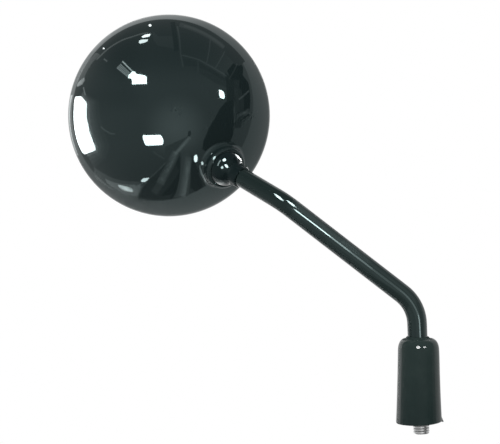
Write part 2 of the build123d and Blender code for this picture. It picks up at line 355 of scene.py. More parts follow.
# the ball's darker copy of the stem paint: painted shade
ballShadedFinish = glossBlack("ballGlossBlackShaded", ballShadedLook)
bootFinish = satinRubber("bootRubber", bootLook)
threadFinish = zincThread("zincThread", threadLook)
zincFinish = zincPlate("zincPlate", zincLook)
gasketFinish = mattMoulding("gasketRubber", gasketLook)
nylonFinish = mattMoulding("jointNylon", nylonLook)
glassLow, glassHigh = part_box("mirror_glass")
glassMiddle = (glassLow + glassHigh) / 2
glassFinish = silverGlass("silverGlass", glassLook, glassMiddle, (glassHigh.x - glassLow.x) / 2)
print("finishes made")


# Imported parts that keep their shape
partFinishes = {
    "glass_gasket": gasketFinish,
    "ball_ring": nylonFinish,
    "ball_liner": nylonFinish,
    "ball_seat": nylonFinish,
    "clamp_plate": zincFinish,
    "clamp_screws": zincFinish,
    "lock_nut": zincFinish,
}
for part, finish in partFinishes.items():
    dress(nodes[part], finish)


def startEdit(piece):
    bpy.ops.object.select_all(action="DESELECT")
    piece.select_set(True)
    bpy.context.view_layer.objects.active = piece
    bpy.ops.object.mode_set(mode="EDIT")
    bpy.ops.mesh.select_all(action="SELECT")


def endEdit():
    bpy.ops.object.mode_set(mode="OBJECT")


def applyModifier(piece, name, kind, **settings):
    modifier = piece.modifiers.new(name, kind)
    for key, setting in settings.items():
        setattr(modifier, key, setting)
    bpy.ops.object.modifier_apply(modifier=name)


def cutFlat(height, above):
    # cuts the edited mesh at a height, closes the cut and keeps one side
    bpy.ops.mesh.select_all(action="SELECT")
    bpy.ops.mesh.bisect(
        plane_co=(0, 0, height),
        plane_no=(0, 0, 1),
        use_fill=True,
        clear_inner=above,
        clear_outer=not above,
    )


def copyOf(part, name):
    piece = bpy.data.objects.new(name, nodes[part].data.copy())
    bpy.context.scene.collection.objects.link(piece)
    return piece


# Shell and ball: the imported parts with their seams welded, in pieces that can be lit apart
splitSkin = {
    "weld": 0.0005 * mm,
    "near": 0.004 * mm,  # a corner this close lies on the dome or the ball
    "lipFrom": 1.3 * mm,  # along the turret from the ball's middle
    "digits": 7,  # of a place in metres
}
shellLow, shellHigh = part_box("mirror_shell")
domeDepth = 32 * mm
domeEdge = (shellHigh.x - shellLow.x) / 2
domeRadius = (domeEdge**2 + domeDepth**2) / (2 * domeDepth)
domeMiddle = (shellLow + shellHigh) / 2
domeMiddle.y = shellLow.y + domeRadius
headSpin = next(joint for joint in frame["joints"] if joint["name"] == "head_spin")
ballMiddle = Vector(headSpin["pos_m"])
ballRadius = 10 * mm
turretAxis = Vector(headSpin["axis"])


def within(corners, middle, radius):
    return all((corner - middle).length < radius + splitSkin["near"] for corner in corners)


def shellShare(corners):
    if within(corners, domeMiddle, domeRadius) or corners[0].x < domeMiddle.x:
        return "shell_moulding"
    rise = sum((corner - ballMiddle).dot(turretAxis) for corner in corners) / len(corners)
    return "shell_lip" if rise > splitSkin["lipFrom"] else "shell_turret"


def ballShare(corners):
    return "ball_knob" if within(corners, ballMiddle, ballRadius) else "ball_neck"


def cornerKeys(piece):
    # each corner by its face and its place, which stay the same when other faces go
    vertices = piece.data.vertices
    digits = splitSkin["digits"]
    for face in piece.data.polygons:
        middle = face.center.to_tuple(digits)
        for corner in face.loop_indices:
            yield corner, (middle, vertices[piece.data.loops[corner].vertex_index].co.to_tuple(digits))


def keepFaces(piece, kept, normals):
    startEdit(piece)
    bpy.ops.mesh.select_mode(type="FACE")
    bpy.ops.mesh.select_all(action="DESELECT")
    endEdit()
    for face in piece.data.polygons:
        face.select = face.index not in kept
    bpy.ops.object.mode_set(mode="EDIT")
    bpy.ops.mesh.delete(type="FACE")
    bpy.ops.mesh.select_mode(type="VERT")
    endEdit()
    corners = [Vector((0, 0, 0))] * len(piece.data.loops)
    for corner, key in cornerKeys(piece):
        corners[corner] = normals[key]
    piece.data.normals_split_custom_set(corners)


def splitPart(part, share, middle, radius, finish, body):
    whole = copyOf(part, part + "_whole")
    startEdit(whole)
    bpy.ops.mesh.remove_doubles(threshold=splitSkin["weld"])
    endEdit()
    shares = {}
    roundFaces = set()  # on the dome or the ball, which get that sphere's own normals
    for face in whole.data.polygons:
        corners = [whole.data.vertices[index].co for index in face.vertices]
        shares.setdefault(share(corners), set()).add(face.index)
        if all(abs((corner - middle).length - radius) < splitSkin["near"] for corner in corners):
            roundFaces.add(face.center.to_tuple(splitSkin["digits"]))
    normals = {}
    for corner, key in cornerKeys(whole):
        normals[key] = whole.data.corner_normals[corner].vector.copy()
        if key[0] in roundFaces:
            normals[key] = (Vector(key[1]) - middle).normalized()
    pieces = {}
    for name, kept in shares.items():
        piece = bpy.data.objects.new(name, whole.data.copy())
        bpy.context.scene.collection.objects.link(piece)
        keepFaces(piece, kept, normals)
        dress(piece, finish)
        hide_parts(part)
        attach(piece, body)
        pieces[name] = piece
        print(name, len(piece.data.polygons), "faces")
    print(part, "has", len(roundFaces), "round faces")
    bpy.data.objects.remove(whole)
    return pieces


# Turret: finer faces on its flank and its fillet, set on the true round surfaces
turretSkin = {
    "radius": 11.5 * mm,
    "fillet": 3 * mm,
    "boreEdge": 10.9 * mm,  # faces further out are on the outside
    "cuts": 2,
    "turnSteps": (0.02, 0.002),  # radians, in a coarse and a fine search
    "turnTries": 10,  # to each side
}
turretSide = turretAxis.orthogonal().normalized()
turretOtherSide = turretAxis.cross(turretSide)


def filletMiddle(turn):
    # middle of a ball that rolls round the turret's foot, by its turn about the turret
    out = turretSide * math.cos(turn) + turretOtherSide * math.sin(turn)
    foot = ballMiddle + out * (turretSkin["radius"] + turretSkin["fillet"])
    along = (foot - domeMiddle).dot(turretAxis)
    span = (foot - domeMiddle).length_squared - (domeRadius + turretSkin["fillet"]) ** 2
    rise = math.sqrt(along**2 - span) - along
    return foot + turretAxis * rise, out, rise


def ontoTurret(place):
    arm = place - ballMiddle
    rise = arm.dot(turretAxis)
    turn = math.atan2(arm.dot(turretOtherSide), arm.dot(turretSide))
    middle, out, flankFrom = filletMiddle(turn)
    if rise > flankFrom:
        return ballMiddle + turretAxis * rise + out * turretSkin["radius"], out
    count = turretSkin["turnTries"]
    for step in turretSkin["turnSteps"]:
        tries = [turn + index * step for index in range(-count, count + 1)]
        turn = min(tries, key=lambda tried: (filletMiddle(tried)[0] - place).length)
    normal = (filletMiddle(turn)[0] - place).normalized()
    return filletMiddle(turn)[0] - normal * turretSkin["fillet"], normal


def roundTurret(piece):
    def outside(place):
        arm = place - ballMiddle
        return (arm - turretAxis * arm.dot(turretAxis)).length > turretSkin["boreEdge"]

    startEdit(piece)
    bpy.ops.mesh.customdata_custom_splitnormals_clear()
    bpy.ops.mesh.select_mode(type="FACE")
    bpy.ops.mesh.select_all(action="DESELECT")
    endEdit()
    for face in piece.data.polygons:
        face.select = outside(face.center)
    bpy.ops.object.mode_set(mode="EDIT")
    bpy.ops.mesh.subdivide(number_cuts=turretSkin["cuts"])
    bpy.ops.mesh.select_mode(type="VERT")
    endEdit()
    bpy.ops.object.shade_smooth()
    normals = []
    furthest = 0.0
    for vertex in piece.data.vertices:
        normal = Vector((0, 0, 0))
        if outside(vertex.co):
            place, normal = ontoTurret(vertex.co)
            furthest = max(furthest, (place - vertex.co).length)
            vertex.co = place
        normals.append(normal)
    piece.data.normals_split_custom_set_from_vertices(normals)
    print("turret", len(piece.data.polygons), "faces, moved by up to", round(furthest / mm, 4), "mm")


# Glass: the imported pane, with its round face's own normals for a clean reflection
glassSkin = {"bend": 1000 * mm, "near": 0.01 * mm}


def polishGlass():
    pane = copyOf("mirror_glass", "glass_pane")
    startEdit(pane)
    bpy.ops.mesh.remove_doubles(threshold=splitSkin["weld"])
    endEdit()
    bendMiddle = Vector((glassMiddle.x, glassHigh.y - glassSkin["bend"], glassMiddle.z))
    normals = [corner.vector.copy() for corner in pane.data.corner_normals]
    polished = 0
    for face in pane.data.polygons:
        arms = [pane.data.vertices[index].co - bendMiddle for index in face.vertices]
        if all(abs(arm.length - glassSkin["bend"]) < glassSkin["near"] for arm in arms):
            polished += 1
            for corner, arm in zip(face.loop_indices, arms):
                normals[corner] = arm.normalized()
    pane.data.normals_split_custom_set(normals)
    dress(pane, glassFinish)
    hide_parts("mirror_glass")
    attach(pane, "head")
    print("glass", polished, "round faces of", len(pane.data.polygons))


# Stem: the bar above the free thread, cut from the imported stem
stemBar = {"cut": 0.6 * mm, "weld": 0.0005 * mm, "smoothAngle": 32}


def makeStemBar():
    bar = copyOf("stem", "stem_bar")
    startEdit(bar)
    bpy.ops.mesh.customdata_custom_splitnormals_clear()
    bpy.ops.mesh.remove_doubles(threshold=stemBar["weld"])
    cutFlat(stemBar["cut"], above=True)
    endEdit()
    bpy.ops.object.shade_smooth_by_angle(angle=math.radians(stemBar["smoothAngle"]))
    dress(bar, stemFinish)
    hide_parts("stem")
    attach(bar, "stem")
    print("stem bar", len(bar.data.polygons), "faces")
    return bar


# Thread of the stud, a coarse 8 mm thread
threadCut = {
    "pitch": 1.25 * mm,
    "crestRadius": 4.10 * mm,
    "rootRadius": 3.64 * mm,
    "crestFlat": 0.50 * mm,
    "rootFlat": 0.15 * mm,
    "top": 1.2 * mm,  # inside the nut
    "tip": -14.6 * mm,
    "chamfer": 0.35 * mm,
    "steps": 56,
    "runIn": 1.5,  # turns below the tip, cut off again
    "spareTurns": 2,
    "weld": 0.001 * mm,
    "smoothAngle": 25,
}


def cutThread():
    cut = threadCut
    turns = math.ceil((cut["top"] - cut["tip"]) / cut["pitch"]) + cut["spareTurns"]
    flank = (cut["pitch"] - cut["crestFlat"] - cut["rootFlat"]) / 2
    depth = cut["crestRadius"] - cut["rootRadius"]
    bpy.ops.object.select_all(action="DESELECT")
    bpy.ops.mesh.primitive_plane_add(size=mm, location=(0, 0, 0))
    thread = bpy.context.object
    thread.name = "stud_thread"
    startEdit(thread)
    bpy.ops.mesh.merge(type="CENTER")
    bpy.ops.mesh.select_all(action="SELECT")
    bpy.ops.transform.translate(value=(cut["rootRadius"], 0, cut["tip"] - cut["runIn"] * cut["pitch"]))
    for out, up in ((0, cut["rootFlat"]), (depth, flank), (0, cut["crestFlat"]), (-depth, flank)):
        bpy.ops.mesh.extrude_region_move(TRANSFORM_OT_translate={"value": (out, 0, up)})
    endEdit()
    applyModifier(
        thread,
        "turns",
        "SCREW",
        axis="Z",
        angle=math.tau,
        screw_offset=cut["pitch"],
        iterations=turns,
        steps=cut["steps"],
        render_steps=cut["steps"],
        use_merge_vertices=True,
        merge_threshold=cut["weld"],
    )
    startEdit(thread)
    bpy.ops.mesh.remove_doubles(threshold=cut["weld"])
    cutFlat(cut["top"], above=False)
    cutFlat(cut["tip"], above=True)
    bpy.ops.mesh.select_all(action="SELECT")
    bpy.ops.mesh.normals_make_consistent(inside=False)
    endEdit()
    for vertex in thread.data.vertices:  # tip chamfer: crests are turned down towards the end
        height = vertex.co.z - cut["tip"]
        limit = cut["crestRadius"] - max(0, cut["chamfer"] - height)
        radius = math.hypot(vertex.co.x, vertex.co.y)
        if radius > limit:
            vertex.co.x *= limit / radius
            vertex.co.y *= limit / radius
    bpy.ops.object.shade_smooth_by_angle(angle=math.radians(cut["smoothAngle"]))
    dress(thread, threadFinish)
    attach(thread, "stem")
    print("stud thread", len(thread.data.polygons), "faces")


# Rubber boot: rings up the outside, over the lip and down the inside
bootShape = {
    "top": 33.8 * mm,  # height of the crown on the stem
    "lean": 1.9,  # degrees, foot towards -X
    "offset": 0.4 * mm,  # of the bell from the stem's axis
    "segments": 48,
    "outside": (  # radius and depth below the crown
        (11.10, 42.6),
        (11.50, 42.55),
        (11.56, 42.25),
        (11.46, 40.5),
        (11.30, 36.7),
        (10.94, 27.0),
        (10.66, 17.0),
        (10.52, 10.0),
        (10.46, 6.2),
        (10.28, 3.9),
        (9.55, 2.0),
        (8.60, 0.9),
        (7.4, 0.25),
        (6.4, 0.2),
    ),
    "lip": ((5.95, -0.1), (5.6, -0.75), (5.3, -0.75), (5.2, 0.3)),
    "inside": (
        (5.2, 3.3),
        (5.9, 3.9),
        (8.1, 5.0),
        (9.0, 6.6),
        (9.4, 28.3),
        (9.8, 37.5),
        (10.1, 42.0),
        (10.4, 42.5),
    ),
    "rounding": 2,  # levels
    "footSlant": 3.3,  # degrees, the foot is longer towards -X
    "footRise": 12 * mm,  # the slant fades out over this height
    "nick": {"reach": 1.0 * mm, "drop": 0.6 * mm, "angle": -6, "spread": 7.0, "height": 2.2 * mm},
    "uneven": 0.16 * mm,
    "unevenSize": 16 * mm,
}


def slantFoot(boot, shape):
    # the foot is cut at a slant and has a small nick of flash at +X
    lowest = min(vertex.co.z for vertex in boot.data.vertices)
    nick = shape["nick"]
    for vertex in boot.data.vertices:
        height = vertex.co.z - lowest
        share = max(0.0, 1 - height / shape["footRise"]) ** 2
        vertex.co.z += vertex.co.x * math.tan(math.radians(shape["footSlant"])) * share
        turn = math.degrees(math.atan2(vertex.co.y, vertex.co.x)) - nick["angle"]
        near = math.exp(-((turn / nick["spread"]) ** 2)) * max(0.0, 1 - height / nick["height"])
        vertex.co.x += nick["reach"] * near
        vertex.co.z -= nick["drop"] * near


def mouldBoot():
    shape = bootShape
    rings = [(r * mm, -d * mm, shape["offset"]) for r, d in shape["outside"]]
    rings += [(r * mm, -d * mm, 0.0) for r, d in shape["lip"]]
    rings += [(r * mm, -d * mm, shape["offset"]) for r, d in shape["inside"]]
    bpy.ops.object.select_all(action="DESELECT")
    firstRadius, firstHeight, firstShift = rings[0]
    bpy.ops.mesh.primitive_circle_add(vertices=shape["segments"], radius=firstRadius, location=(0, 0, 0))
    boot = bpy.context.object
    boot.name = "boot_rubber"
    startEdit(boot)
    bpy.ops.transform.translate(value=(firstShift, 0, firstHeight))
    for (oldRadius, oldHeight, oldShift), (radius, height, shift) in zip(rings, rings[1:]):
        step = (shift - oldShift, 0, height - oldHeight)
        bpy.ops.mesh.extrude_edges_move(TRANSFORM_OT_translate={"value": step})
        grow = radius / oldRadius
        bpy.ops.transform.resize(value=(grow, grow, 1), center_override=(shift, 0, height))
    bpy.ops.mesh.select_all(action="DESELECT")
    bpy.ops.mesh.select_non_manifold()
    bpy.ops.mesh.bridge_edge_loops()
    bpy.ops.mesh.select_all(action="SELECT")
    bpy.ops.mesh.normals_make_consistent(inside=False)
    endEdit()
    applyModifier(boot, "rounding", "SUBSURF", levels=shape["rounding"], render_levels=shape["rounding"])
    slantFoot(boot, shape)
    startEdit(boot)
    lean = math.radians(-shape["lean"])
    bpy.ops.transform.rotate(value=lean, orient_axis="Y", center_override=(0, 0, 0))
    bpy.ops.transform.translate(value=(0, 0, shape["top"]))
    endEdit()
    clouds = bpy.data.textures.new("bootUneven", "CLOUDS")
    clouds.noise_scale = shape["unevenSize"]
    applyModifier(boot, "uneven", "DISPLACE", texture=clouds, strength=shape["uneven"], mid_level=0.5)
    bpy.ops.object.shade_smooth()
    dress(boot, bootFinish)
    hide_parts("rubber_boot")
    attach(boot, "boot")
    print("rubber boot", len(boot.data.polygons), "faces")
    return boot


shell = splitPart(
    "mirror_shell", shellShare, domeMiddle, domeRadius, shellFinish, "head"
)
ball = splitPart("ball_end", ballShare, ballMiddle, ballRadius, ballShadedFinish, "stem")
roundTurret(shell["shell_turret"])
polishGlass()
stemPiece = makeStemBar()
cutThread()
bootPiece = mouldBoot()


# Camera at the photograph's angle
photoView = {
    "place": (-0.0828, -0.560, 0.096),
    "roll": 2.25,  # degrees
    "focalPixels": 1102,
    "widthPixels": 500,
    "heightPixels": 444,
    "sensor": 36.0,
    "nearest": 0.01,
}
photoTurn = Euler((math.radians(90), math.radians(photoView["roll"]), 0))


def setCamera():
    bpy.ops.object.camera_add(location=photoView["place"], rotation=photoTurn)
    camera = bpy.context.object
    camera.name = "photoCamera"
    camera.data.sensor_fit = "HORIZONTAL"
    camera.data.sensor_width = photoView["sensor"]
    camera.data.lens = photoView["sensor"] * photoView["focalPixels"] / photoView["widthPixels"]
    camera.data.clip_start = photoView["nearest"]
    bpy.context.scene.camera = camera


# Where a camera ray through a pixel of the photograph goes after it bounces off the part
def pixelRay(pixel):
    right = pixel[0] - photoView["widthPixels"] / 2
    up = photoView["heightPixels"] / 2 - pixel[1]
    return (photoTurn.to_matrix() @ Vector((right, up, -photoView["focalPixels"]))).normalized()


def offDome(pixel, reach):
    ray = pixelRay(pixel)
    start = Vector(photoView["place"])
    along = ray.dot(start - domeMiddle)
    miss = (start - domeMiddle).length_squared - domeRadius**2
    hit = start + ray * (-along - math.sqrt(max(0.0, along**2 - miss)))
    return hit + ray.reflect((hit - domeMiddle).normalized()) * reach


def offPiece(piece):
    # the same for a piece's mesh, with its normals blended over each face
    def bounce(pixel, reach):
        ray = pixelRay(pixel)
        found, hit, flat, face = piece.ray_cast(Vector(photoView["place"]), ray)
        if not found:
            print("no hit on", piece.name, "at", pixel)
            return Vector(photoView["place"]) - ray * reach
        corners = [piece.data.vertices[index] for index in piece.data.polygons[face].vertices[:3]]
        places = [corner.co for corner in corners]
        turns = [corner.normal for corner in corners]
        return hit + ray.reflect(barycentric_transform(hit, *places, *turns).normalized()) * reach

    return bounce


def ribbon(width, *points):
    # the outline of a line of that width through points
    path = [Vector(point) for point in points]
    left = []
    right = []
    for index, point in enumerate(path):
        along = path[min(index + 1, len(path) - 1)] - path[max(index - 1, 0)]
        across = Vector((-along.y, along.x)).normalized() * width / 2
        left.append(tuple(point + across))
        right.append(tuple(point - across))
    return (*left, *reversed(right))


# Studio cards, which only show as reflections
# Each has a strength and the outline of its reflection in the photograph's pixels
shellFlags = {
    "ledgeShade": (0.32, (
        (192, 62), (206, 66), (218, 73), (228, 80), (227, 88), (215, 83), (203, 75.5), (193, 70),
    )),
    "underLedge": (0.24, (
        (182.5, 57.5), (191.5, 59.5), (199, 62), (206, 66), (216, 72), (228.5, 80.5), (227.5, 83),
        (214, 75), (204, 69.5), (196, 66.5), (184.5, 66),
    )),
    "sideShade": (0.15, ((224.6, 72.6), (234, 79.6), (234.5, 92), (234, 108), (226, 108), (226.5, 90))),
    "sideTone": (0.2, ((233.6, 79), (240.6, 81), (240.6, 128), (234, 128), (234.6, 100))),
    "cornerShade": (0.27, ribbon(10, (213, 38.7), (219.5, 42.8), (231.3, 52.7), (241.2, 64.5))),
    "sideFlag": (0.06, (
        (227, 71), (233, 63.5), (240, 62.5), (243.2, 67.5), (242.6, 75), (248.4, 83), (249.4, 111.5),
        (238.1, 112), (238.1, 93.4), (239.6, 80.5), (231, 79.4),
    )),
    "sideLine": (0.05, ribbon(1.6, (234, 124), (241, 119.8), (249.3, 114.3))),
    "standFlag": (0.08, (
        (202.4, 149), (203.4, 141), (206, 135.5), (208.6, 129), (211.5, 123.5), (216.7, 114.8),
        (219.8, 108.7), (224.9, 102.6), (232.5, 100), (233.5, 112), (233, 135), (230, 141.5),
        (229, 147), (214, 151.5), (207, 152.5),
    )),
    "foldUpper": (0.5, (
        (188, 136.2), (175, 142.2), (165, 146.8), (165, 158), (170, 159), (176.2, 152.3),
        (183.2, 144.6), (190.5, 140),
    )),
    "foldLeft": (0.26, (
        (178.2, 152), (170, 158.6), (165.7, 163.5), (157.5, 172), (150.5, 178.3), (140.6, 189.5),
        (138.4, 197.2), (147.5, 198.9), (172, 198.5), (176.2, 192.2), (179, 181), (180.4, 169.8),
        (180.5, 153),
    )),
    "foldDark": (0.14, (
        (179, 153), (174.8, 169.8), (169.2, 181), (161.5, 189.4), (159.4, 198.5), (172, 198.5),
        (176.2, 192.2), (179, 181), (180.4, 169.8),
    )),
    "foldMiddle": (0.6, (
        (183, 152), (181.2, 160), (180.4, 169.8), (179, 181), (176.4, 192), (174, 197.8), (188, 196),
        (190, 181), (190.6, 160), (188.5, 150),
    )),
    "secondFoldDark": (0.18, (
        (191.6, 155), (190.6, 170), (190.5, 188), (195.8, 191.6), (203, 187), (199.5, 175),
        (196.5, 166), (193.2, 158),
    )),
    "wallShade": (0.34, (
        (152.6, 31), (158, 36.4), (166, 36), (176.6, 36.6), (178.8, 51.4), (170, 47.8), (158.4, 46),
        (153.6, 41),
    )),
    "postShade": (0.14, ribbon(4.6, (172.6, 22), (174.4, 34), (176.4, 51))),
    "clip": (0.25, ((187.6, 136.4), (188.4, 131.4), (190.4, 130.6), (191.2, 133), (190, 136.6))),
}
shellLights = {
    "upperPanel": (40, (
        (132.2, 84.4), (132, 80), (130.6, 78.3), (128.3, 78), (128.6, 75), (131, 73.2), (132.2, 71.6),
        (134.6, 71.6), (136.6, 74), (145.4, 75.6), (146.6, 77.2), (146.8, 83.9),
    )),
    "slats": (1.5, ((116.6, 67.6), (120.6, 63.6), (130.2, 72.6), (128.2, 77.2))),
    "slatEdge": (3, ribbon(0.9, (116.9, 67.9), (128.2, 77.2))),
    "firstSlat": (2.2, ribbon(0.6, (118, 66.6), (128.6, 75.9))),
    "secondSlat": (2.2, ribbon(0.6, (119.2, 65.4), (129.2, 74.5))),
    "thirdSlat": (2.2, ribbon(0.6, (120.4, 64.2), (129.8, 73.1))),
    "slatLine": (7, ribbon(1.2, (122.4, 61.4), (133.2, 72.2))),
    "middlePanel": (40, (
        (142.9, 135.2), (160.2, 135), (161.9, 136.8), (163, 139), (163.4, 141.5), (163.2, 143.4),
        (162, 144.8), (146.5, 145.5), (145.2, 144.6), (143.8, 141), (142.7, 137),
    )),
    "rightPanel": (40, (
        (219, 90), (220.6, 89.9), (222.8, 91.2), (224, 92.8), (224.6, 96.2), (224.5, 98.2),
        (223.2, 98.8), (220.2, 97.6), (219.3, 95.4),
    )),
    "leftPanel": (24, (
        (75.4, 96.8), (81.2, 96.4), (86.9, 102.5), (87.2, 120.2), (89.6, 130.9), (95.4, 147),
        (95.2, 150.2), (84.8, 154.4), (82.2, 152.2), (78.6, 144.7), (75.5, 134), (74, 123.4),
        (73.9, 109.5), (74.4, 101),
    )),
    "leftRim": (3, ribbon(
        2.8, (71.4, 95), (69.4, 107), (69.1, 115.3), (69.5, 124), (70.8, 133.5), (73.6, 144.5),
        (77.6, 155.4),
    )),
    "outerHalo": (0.1, (
        (82, 91), (99, 101), (101, 120.5), (104, 131), (110, 146), (106, 158), (94, 168), (90, 160),
        (86, 140), (84, 120),
    )),
    "wideHalo": (0.13, (
        (83, 91.5), (95.5, 101.5), (96.8, 120.5), (99.6, 131), (105, 146), (102, 157), (92, 164),
        (88.5, 157), (86, 140), (84, 120),
    )),
    "innerHalo": (0.2, (
        (83.5, 92), (92.6, 102), (93.4, 120.5), (96, 131), (101.6, 146.5), (99.5, 155), (89.5, 160),
        (87, 155), (86, 140), (84, 120),
    )),
    "leftHalo": (0.7, (
        (82, 93), (90, 103), (90.2, 120.5), (92.6, 131), (98.2, 147), (97.6, 152.4), (87, 156.6),
        (86, 140), (84, 120),
    )),
    "topPanel": (20, ((141.4, 36.8), (145, 34.6), (150.6, 33.8), (149.4, 36.4), (143.4, 37.9))),
    "secondTopPanel": (16, (
        (138.8, 42.6), (139.2, 40.6), (142, 39.6), (148, 39.4), (147.6, 41), (144.6, 42.6),
        (140, 43.6),
    )),
    "topLamp": (14, ((148.6, 24.6), (150.4, 24), (151.6, 25.2), (150.8, 26.6), (149, 26.4))),
    "lowPanel": (16, (
        (140.8, 180.5), (143.4, 178.4), (149.6, 177.5), (147.5, 180.1), (144.8, 182), (141.7, 182),
    )),
    "lowHalo": (0.35, (
        (94, 167), (104, 173.6), (114, 178.6), (126, 181), (136, 181.6), (143, 181.6), (142, 190),
        (138, 198), (128, 197), (117, 192), (104, 184.5), (95, 177),
    )),
    "lowGlow": (0.85, (
        (105, 178.6), (114, 182.4), (126, 184.4), (135, 185), (141, 184.4), (140, 190), (136.4, 196.4),
        (128, 195), (118, 190.6), (107, 183),
    )),
    "lowBand": (6.5, (
        (117.8, 184.8), (121, 185.2), (126, 186.4), (131, 188.2), (133.8, 190.2), (132.4, 191.8),
        (128, 191.6), (123.5, 190.2), (119.6, 187.4),
    )),
    "arch": (0.65, ribbon(
        1.3, (148.4, 32.7), (140, 34.2), (131.8, 36.9), (122.1, 40.2), (113.1, 45.2), (106.9, 49.7),
        (100.7, 55.6), (96.6, 59.6),
    )),
    "archBand": (0.45, (
        (100.4, 54.8), (93, 62), (88.5, 68.6), (85, 76), (81.5, 83.5), (77.4, 86.6), (76.4, 83),
        (79.6, 74.6), (83.6, 66.8), (88.6, 60.2), (96.4, 52.6),
    )),
    "archEnd": (1.9, (
        (76.6, 86.2), (78.2, 82.4), (81.6, 79.6), (84.4, 77.4), (84.6, 80.6), (82, 84.6), (78.2, 86.6),
    )),
    "tick": (1.4, ribbon(1.1, (83.5, 87.2), (84.2, 91), (85.4, 95.2))),
    "secondTick": (0.9, ribbon(1.5, (103.8, 58.8), (107.2, 61.4))),
    "star": (22, ribbon(1.2, (103.1, 48.4), (104.3, 48.4))),
    "ledge": (0.3, ribbon(
        1.3, (181.6, 55.2), (191.3, 57.4), (199.4, 60), (206.5, 64), (216.7, 69.8), (226.9, 76.3),
    )),
    "post": (0.24, ribbon(1.4, (177.2, 26.2), (180.6, 54.7), (183.1, 67))),
    "firstMullion": (0.26, ribbon(1.1, (210.1, 40), (206.5, 62.9))),
    "secondMullion": (0.28, ribbon(1.1, (224.9, 51.2), (215.4, 68))),
    "thirdMullion": (0.24, ribbon(1.1, (237.1, 63.9), (229, 79.2))),
    "shortMullion": (0.2, ribbon(1.1, (197.9, 60.8), (197.9, 72.5))),
    "sill": (0.16, ribbon(4.4, (179.6, 24.6), (190, 27.8), (201.5, 32.6), (212, 38.6), (224, 47.6))),
    "sillCore": (0.14, ribbon(2.2, (184, 25.8), (201.5, 32.2), (212, 38.2), (224, 47.4))),
    "diagonal": (0.55, ribbon(1.5, (238.8, 99.6), (249, 90.6))),
    "secondDiagonal": (0.36, ribbon(2.4, (236.4, 117), (249, 109.2))),
    "upright": (0.05, ribbon(3, (235.8, 88), (236.4, 121))),
    "foldStreak": (0.55, ribbon(3.8, (190, 137.2), (183.2, 144.6), (175.6, 153.6))),
    "foldStreakCore": (0.55, ribbon(1.8, (188.8, 138.3), (183.2, 144.6), (175.8, 153.4))),
    "secondFoldStreak": (0.28, ribbon(8.4, (176.6, 152), (170.4, 164.2), (165, 174), (160, 183.6))),
    "secondFoldCore": (0.32, ribbon(5.2, (176.2, 152.6), (170.8, 164), (165.6, 173), (161.4, 180.6))),
    "secondFoldHeart": (0.35, ribbon(2.2, (176, 153), (171.5, 163.6), (166.6, 171.9))),
    "fadingStreak": (0.22, ribbon(7, (162.6, 178.6), (158.6, 186), (154, 193))),
    "foldEdge": (0.3, ribbon(1.2, (165.7, 162.8), (157.3, 171.2), (150.3, 177.5), (142, 187))),
    "foldBand": (0.28, ribbon(7, (189, 157), (187.4, 167), (184.8, 181), (182, 196.5))),
    "foldBandCore": (0.32, ribbon(4.4, (188.8, 161), (187.4, 170), (185.4, 182), (183, 196.5))),
    "foldBandHeart": (0.26, ribbon(2.2, (188.2, 166), (186.8, 175), (185.6, 185), (184, 195))),
    "baseSpot": (28, (
        (193.9, 158.4), (194.3, 156.4), (195.3, 155), (196.5, 154.8), (197.3, 156.2), (197.5, 158.6),
        (197.1, 161), (196.2, 162.2), (195, 161.9), (194.2, 160.4),
    )),
    "scratch": (0.35, ribbon(1, (153.2, 151.6), (158.5, 155.6), (164.4, 158.8))),
    "scuff": (0.55, ribbon(1.3, (101, 126.8), (105, 130.4), (110.6, 133.6), (115, 134))),
}
turretLights = {
    "footGleam": (0.9, ribbon(2.4, (199.4, 163.6), (200.6, 170.4), (203.2, 177), (206.4, 181.6))),
    "footGleamCore": (1.2, ribbon(1.2, (199.8, 165), (200.9, 170.4), (203.4, 176.8), (205.8, 180.6))),
    "sideSpot": (16, ((201.2, 162.4), (202.4, 161.2), (203.6, 163), (203, 165), (201.6, 164.8))),
}
lipLights = {
    "ringSpot": (20, ((212.6, 159.2), (213.6, 156.8), (215.4, 156), (215.2, 158.2), (213.8, 159.8))),
    "secondRingSpot": (9, ((212.4, 164), (213, 162.2), (214.4, 161.6), (214.4, 163.2), (213.2, 164.6))),
}
ballLights = {
    "firstSpark": (74, (
        (222.6, 159.6), (224, 158.4), (225.8, 158.6), (225.8, 160.7), (224.4, 161.5), (222.8, 161.1),
    )),
    "secondSpark": (74, (
        (224.4, 164.8), (226.2, 164.1), (227.4, 165.4), (228.4, 167), (227.8, 167.7), (225.8, 167.3),
    )),
    "thirdSpark": (46, ((221.2, 166.6), (222.8, 166), (223.4, 168), (222, 169), (221, 168.4))),
    "sparkLine": (15, ribbon(1.2, (220.6, 160.4), (218.8, 163), (217.8, 165.8))),
    "lowGleam": (0.5, ribbon(3, (218.6, 180.2), (222, 181.9), (226.4, 182.3), (230.4, 181.2))),
    "lowGleamCore": (1.2, ribbon(1.2, (220.6, 182.2), (224.4, 183), (228.6, 182.4))),
    "rim": (17, ribbon(2.4, (236, 154), (238.7, 157.4), (240.2, 161.4))),
}
neckLights = {
    "neckLine": (2.8, ribbon(1.2, (241.4, 164.2), (243.8, 166.2), (246.6, 168.4))),
}
